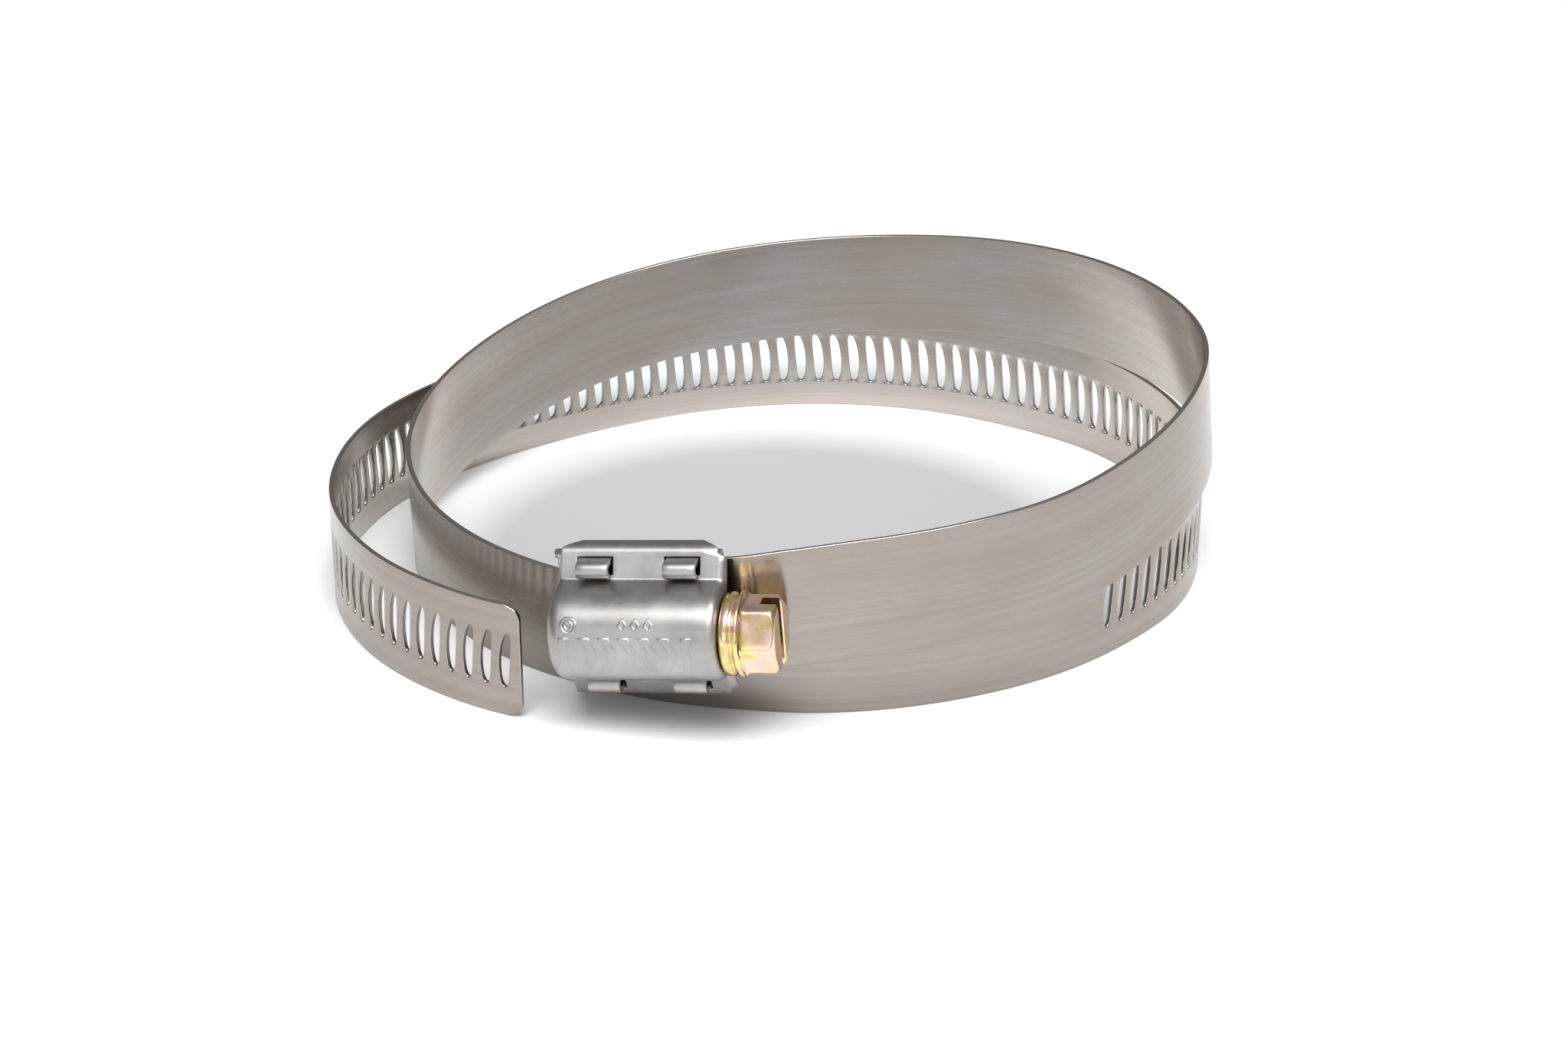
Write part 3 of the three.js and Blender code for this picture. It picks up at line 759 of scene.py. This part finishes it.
def strip_steel():
    """Cold-rolled stainless strip: rolling lines along it, faint scratches, sheared edges darker
    (partly duller metal, partly painted shade in the slot walls), and painted shade on its outer
    face.
    """
    n = Nodes("strip_steel")
    strip = n.add("ShaderNodeUVMap", uv_map="strip").outputs["UV"]
    waves = n.noise(n.stretched(strip, (0.016, 0.16, 1)), 1.0, 2)
    streaks = n.noise(n.stretched(strip, (0.012, 1.6, 1)), 1.0, 4)
    fine = n.noise(n.stretched(strip, (0.05, 9, 1)), 1.0, 2)
    clouds = n.noise(n.stretched(strip, (0.045, 0.2, 1)), 1.0, 3)
    scratches = n.noise(n.stretched(strip, (0.3, 6.0, 1)), 1.0, 2, 0.8)
    tone = n.ramp(streaks, (0.3, (0.475, 0.445, 0.418)), (0.7, (0.54, 0.515, 0.489)))
    patches = n.ramp(clouds, (0.35, (0.92, 0.88, 0.83)), (0.62, (1.0, 1.0, 1.0)))
    colour = n.mix(1.0, tone, patches, "MULTIPLY")
    cut = n.add("ShaderNodeAttribute", attribute_name="cut_edge").outputs["Fac"]
    outer = n.add("ShaderNodeAttribute", attribute_name="outer_face_painted_shade").outputs["Fac"]
    # Painted shade: the outer face gets 0.64 of the inner face's colour.
    colour = n.mix(outer, colour, n.mix(1.0, colour, (0.64, 0.625, 0.61, 1), "MULTIPLY"))
    # Sheared edges and slot walls are darker: partly the duller sheared metal, partly painted shade
    # in the slot walls.
    colour = n.mix(cut, colour, (0.36, 0.335, 0.31, 1))
    n.link(colour, n.shader.inputs["Base Color"])
    rough = n.math("ADD", n.spread(clouds, 0.3, 0.7, 0.18, 0.26),
                   n.spread(scratches, 0.6, 0.72, 0.0, 0.08))
    n.link(rough, n.shader.inputs["Roughness"])
    lines = n.math("ADD", n.math("MULTIPLY", streaks, 0.3), n.math("MULTIPLY", fine, 0.06))
    n.bump(n.math("ADD", n.math("MULTIPLY", waves, 2.2), lines), BUMP_HEIGHT, 0.5)
    n.shader.inputs["Metallic"].default_value = 1
    n.shader.inputs["Anisotropic"].default_value = 0.75
    n.shader.inputs["Anisotropic Rotation"].default_value = 0.25
    tangent = n.add("ShaderNodeTangent", direction_type="UV_MAP", uv_map="strip")
    n.link(tangent.outputs["Tangent"], n.shader.inputs["Tangent"])
    return n.material


def pressed_steel(name, dark, light):
    """Pressed stainless sheet: even satin, with a fine grain and rubbed patches."""
    n = Nodes(name)
    place = n.add("ShaderNodeTexCoord").outputs["Object"]
    mottle = n.noise(place, 260, 4)
    grain = n.noise(place, 5200, 2)
    rubs = n.noise(n.stretched(place, (1, 1, 3.5)), 800, 3, 0.7)
    n.link(n.ramp(mottle, (0.32, dark), (0.68, light)), n.shader.inputs["Base Color"])
    rough = n.math("ADD", n.spread(mottle, 0.3, 0.7, 0.33, 0.41),
                   n.spread(rubs, 0.55, 0.7, 0.0, 0.07))
    n.link(rough, n.shader.inputs["Roughness"])
    height = n.math("ADD", n.math("MULTIPLY", mottle, 0.5), n.math("MULTIPLY", grain, 0.1))
    n.bump(height, BUMP_HEIGHT, 0.35)
    n.shader.inputs["Metallic"].default_value = 1
    return n.material


def plated_steel():
    """Yellow-passivated zinc: gold that drifts to olive, rose and lilac over a smooth surface."""
    n = Nodes("plated_steel")
    place = n.add("ShaderNodeTexCoord").outputs["Object"]
    drift = n.noise(place, 260, 2)
    spots = n.noise(place, 520, 3)
    tint = n.ramp(drift, (0.3, (0.62, 0.52, 0.24)), (0.44, (0.83, 0.66, 0.3)),
                  (0.55, (0.86, 0.62, 0.42)), (0.64, (0.8, 0.56, 0.5)), (0.76, (0.72, 0.68, 0.4)))
    shade = n.ramp(spots, (0.35, (0.86, 0.84, 0.76)), (0.6, (1, 1, 1)))
    n.link(n.mix(1.0, tint, shade, "MULTIPLY"), n.shader.inputs["Base Color"])
    n.link(n.spread(spots, 0.3, 0.7, 0.12, 0.24), n.shader.inputs["Roughness"])
    n.bump(spots, PLATING_BUMP, 0.35)
    n.shader.inputs["Metallic"].default_value = 1
    n.shader.inputs["Coat Weight"].default_value = 0.25
    n.shader.inputs["Coat Roughness"].default_value = 0.08
    return n.material


def finish_piece(obj, material, node, body):
    obj.data.materials.clear()
    obj.data.materials.append(material)
    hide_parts(node)
    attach(obj, body)


strip = strip_steel()
sheet = pressed_steel("pressed_steel", (0.34, 0.323, 0.31), (0.42, 0.407, 0.393))
saddle_sheet = pressed_steel("saddle_steel", (0.35, 0.333, 0.318), (0.43, 0.415, 0.4))
plated = plated_steel()
finish_piece(make_band(), strip, "band", "clamp")
finish_piece(make_housing(), sheet, "housing", "clamp")
finish_piece(make_marks(), sheet, "housing", "clamp")
finish_piece(make_saddle(), saddle_sheet, "saddle", "clamp")
finish_piece(make_shank(), plated, "screw", "screw")
finish_piece(make_head(), plated, "screw", "screw")

# ---- Floor, light and camera ----

FLOOR_HALF_SIZE = 4000
# Painted shade: the floor is grey under the clamp and fades to its pale colour between two radii
# from its middle, in metres.
FLOOR_PAINTED_SHADE = (0.46, 0.46, 0.47)
FLOOR_OUTER = (0.95, 0.95, 0.955)
FLOOR_SHADE_FADE = (0.036, 0.052)

# Softboxes: place, target, size and watts.
SOFTBOXES = {
    "overhead": ((80, -380, 800), (0, 0, 0), (900, 420), 9.5),
    "front": ((-120, -700, 210), (0, 0, 20), (900, 300), 0.8),
}

# The camera, from the foot of the coil's axis.
CAMERA_PLACE = np.array([0, -366.8, 169.2])
CAMERA_DOWN = 24.4
LENS = 71.4
SENSOR_WIDTH = 36


def make_floor():
    """A pale floor with painted shade: a little greyer under the middle of the clamp."""
    size = FLOOR_HALF_SIZE
    corners = [(-size, -size, 0), (size, -size, 0), (size, size, 0), (-size, size, 0)]
    floor = new_object("floor", corners, [(0, 1, 2, 3)])
    n = Nodes("pale_floor")
    place = n.add("ShaderNodeTexCoord").outputs["Object"]
    span = n.add("ShaderNodeVectorMath", operation="LENGTH")
    n.link(place, span.inputs[0])
    # Painted shade: grey near the middle of the floor, pale further out.
    tone = n.ramp(n.spread(span.outputs["Value"], *FLOOR_SHADE_FADE), (0.0, FLOOR_PAINTED_SHADE),
                  (1.0, FLOOR_OUTER))
    n.link(tone, n.shader.inputs["Base Color"])
    n.shader.inputs["Roughness"].default_value = 0.7
    n.shader.inputs["Specular IOR Level"].default_value = 0.2
    floor.data.materials.append(n.material)


def add_softbox(name, place, target, size, watts):
    light = bpy.data.lights.new(name, "AREA")
    light.shape, light.size, light.size_y = "RECTANGLE", size[0] * MM, size[1] * MM
    light.energy = watts
    obj = bpy.data.objects.new(name, light)
    bpy.context.scene.collection.objects.link(obj)
    obj.location = Vector(place) * MM
    obj.rotation_euler = (Vector(target) - Vector(place)).to_track_quat("-Z", "Y").to_euler()


def make_world():
    """A room that is darker low down and behind, and lighter overhead and in front."""
    world = bpy.data.worlds.new("studio")
    bpy.context.scene.world = world
    world.use_nodes = True
    tree = world.node_tree
    background = tree.nodes["Background"]
    place = tree.nodes.new("ShaderNodeTexCoord")
    split = tree.nodes.new("ShaderNodeSeparateXYZ")
    tree.links.new(place.outputs["Generated"], split.inputs[0])
    up = tree.nodes.new("ShaderNodeValToRGB")
    tree.links.new(split.outputs["Z"], up.inputs["Fac"])
    for element, (position, grey) in zip(up.color_ramp.elements, ((0.05, 0.42), (0.85, 0.88))):
        element.position, element.color = position, (grey, grey, grey * 1.02, 1)
    back = tree.nodes.new("ShaderNodeMapRange")
    for name, number in (("From Min", -0.6), ("From Max", 0.25), ("To Min", 1.0), ("To Max", 0.45)):
        back.inputs[name].default_value = number
    tree.links.new(split.outputs["Y"], back.inputs["Value"])
    tree.links.new(up.outputs["Color"], background.inputs["Color"])
    tree.links.new(back.outputs["Result"], background.inputs["Strength"])


def make_camera():
    data = bpy.data.cameras.new("camera")
    data.lens, data.sensor_width = LENS, SENSOR_WIDTH
    camera = bpy.data.objects.new("camera", data)
    bpy.context.scene.collection.objects.link(camera)
    camera.location = Vector(COIL_AXIS + CAMERA_PLACE) * MM
    camera.rotation_euler = (math.radians(90 - CAMERA_DOWN), 0, 0)
    bpy.context.scene.camera = camera


make_floor()
make_world()
for softbox, setting in SOFTBOXES.items():
    add_softbox(softbox, *setting)
make_camera()
bpy.context.scene.view_settings.view_transform = "Standard"
